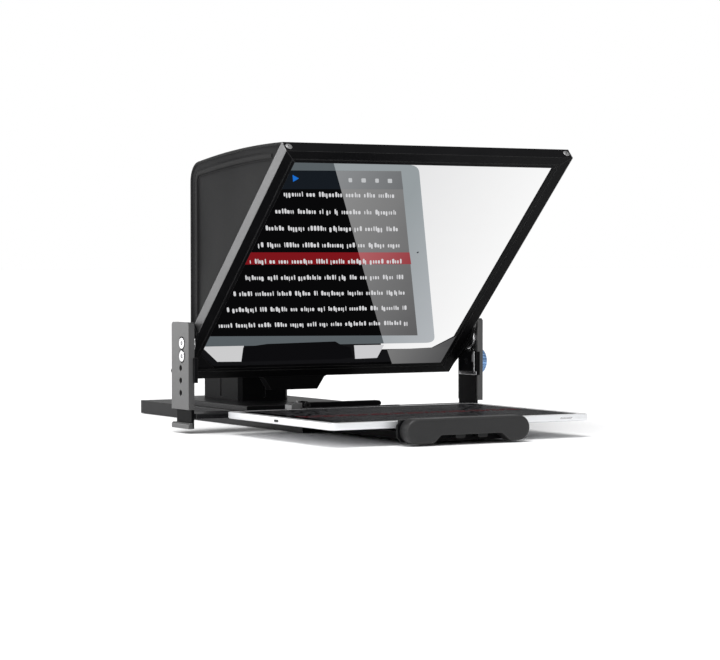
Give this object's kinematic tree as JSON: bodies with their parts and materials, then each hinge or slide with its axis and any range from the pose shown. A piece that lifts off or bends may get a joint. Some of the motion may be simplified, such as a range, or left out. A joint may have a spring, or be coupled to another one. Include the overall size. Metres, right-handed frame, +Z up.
{
  "type": "teleprompter",
  "caption": "Tablet teleprompter: tilting half-silvered mirror in a frame with a cloth hood, on posts over a tablet tray, with a sliding, rising camera plate behind.",
  "frame": {"origin": "mouth of the front tripod thread, on the base's underside", "axes": "-Y faces the talent, +X is to the right in a front view, +Z is up"},
  "size_m": [0.3748, 0.609, 0.2956],
  "materials": {
    "black_metal": "satin black anodised",
    "grey_metal": "brushed, bare",
    "steel": "bright",
    "bright_chrome": "polished",
    "blue_metal": "blue anodised, knurled",
    "rubber": "matt",
    "black_plastic": "matt moulded",
    "soft_plastic": "soft-touch",
    "hood_cloth": "woven",
    "mirror_glass": "half-silvered, polished",
    "tablet_silver": "bead-blasted",
    "tablet_white": "gloss",
    "tablet_black": "gloss"
  },
  "bodies": {
    "base": {"base_housing": "black_metal", "base_plate": "black_metal", "guide_rail": "grey_metal", "base_end_cap": "black_plastic", "base_pad": "rubber", "rear_stop": "rubber", "cross_bar": "black_metal", "left_arm": "black_metal", "right_arm": "black_metal", "left_foot": "black_metal", "right_foot": "black_metal", "lever_block": "grey_metal", "lever_screw": "steel"},
    "lever": {"clamp_lever": "black_metal"},
    "tray": {"tray": "black_metal", "tray_pad": "rubber", "clip_plate": "black_metal", "clip": "soft_plastic", "clip_lug_left": "black_plastic", "clip_lug_right": "black_plastic", "clip_jaw": "rubber"},
    "tablet": {"tablet_shell": "tablet_silver", "tablet_bezel": "tablet_white", "tablet_display": "tablet_black"},
    "posts": {"left_post": "black_metal", "right_post": "black_metal", "left_collar": "black_metal", "right_collar": "black_metal", "right_collar_trim": "bright_chrome", "left_pivot_screw": "steel", "right_pivot_screw": "steel", "left_stop_screw": "steel", "right_stop_screw": "steel"},
    "knob": {"lock_knob": "blue_metal"},
    "mirror": {"bar_bottom": "black_metal", "bar_top": "black_metal", "bar_left": "black_metal", "bar_right": "black_metal", "mirror_glass": "mirror_glass", "left_gusset": "black_metal", "right_gusset": "black_metal", "left_bracket": "black_metal", "right_bracket": "black_metal", "left_hub": "steel", "right_hub": "steel", "left_side_trim": "grey_metal", "right_side_trim": "grey_metal", "hood": "hood_cloth", "lens_sleeve": "hood_cloth"},
    "carriage": {"carriage_plate": "black_metal", "riser": "black_metal"},
    "carriage_screw": {"carriage_knob": "black_plastic"},
    "column": {"riser_column": "black_metal", "platform": "black_metal", "platform_nose": "black_metal"},
    "riser_screw": {"riser_knob": "black_plastic"},
    "camera_slide": {"camera_plate": "black_metal", "camera_pad": "rubber"},
    "camera_bolt": {"camera_screw": "steel"}
  },
  "joints": [
    {"name": "lever_turn", "type": "hinge", "parent": "base", "child": "lever", "pos_m": [-0.045, -0.045, 0.0254], "axis": [0, -1, 0], "range_deg": [0, 45]},
    {"name": "tray_slide", "type": "slide", "parent": "base", "child": "tray", "axis": [0, -1, 0], "range_m": [0, 0.025]},
    {"name": "tablet_lift", "type": "slide", "parent": "base", "child": "tablet", "axis": [0, 0, 1], "range_m": [0, 0.05]},
    {"name": "post_lift", "type": "slide", "parent": "base", "child": "posts", "axis": [0, 0, 1], "range_m": [0, 0.06]},
    {"name": "lock_knob_turn", "type": "hinge", "parent": "posts", "child": "knob", "pos_m": [0.187, -0.027, 0.0675], "axis": [1, 0, 0], "continuous": true},
    {"name": "mirror_tilt", "type": "hinge", "parent": "posts", "child": "mirror", "pos_m": [0, -0.03, 0.0935], "axis": [1, 0, 0], "range_deg": [-4, 43]},
    {"name": "carriage_slide", "type": "slide", "parent": "base", "child": "carriage", "axis": [0, 1, 0], "range_m": [-0.006, 0.065]},
    {"name": "carriage_knob_turn", "type": "hinge", "parent": "carriage", "child": "carriage_screw", "pos_m": [0.046, 0.196, 0.025], "axis": [0, 0, 1], "continuous": true},
    {"name": "column_slide", "type": "slide", "parent": "carriage", "child": "column", "axis": [0, 0, 1], "range_m": [0, 0.035]},
    {"name": "riser_knob_turn", "type": "hinge", "parent": "carriage", "child": "riser_screw", "pos_m": [0.04, 0.183, 0.06], "axis": [1, 0, 0], "continuous": true},
    {"name": "camera_plate_slide", "type": "slide", "parent": "column", "child": "camera_slide", "axis": [0, 1, 0], "range_m": [-0.04, 0.04]},
    {"name": "camera_screw_turn", "type": "hinge", "parent": "camera_slide", "child": "camera_bolt", "pos_m": [0, 0.165, 0.1], "axis": [0, 0, 1], "continuous": true}
  ]
}
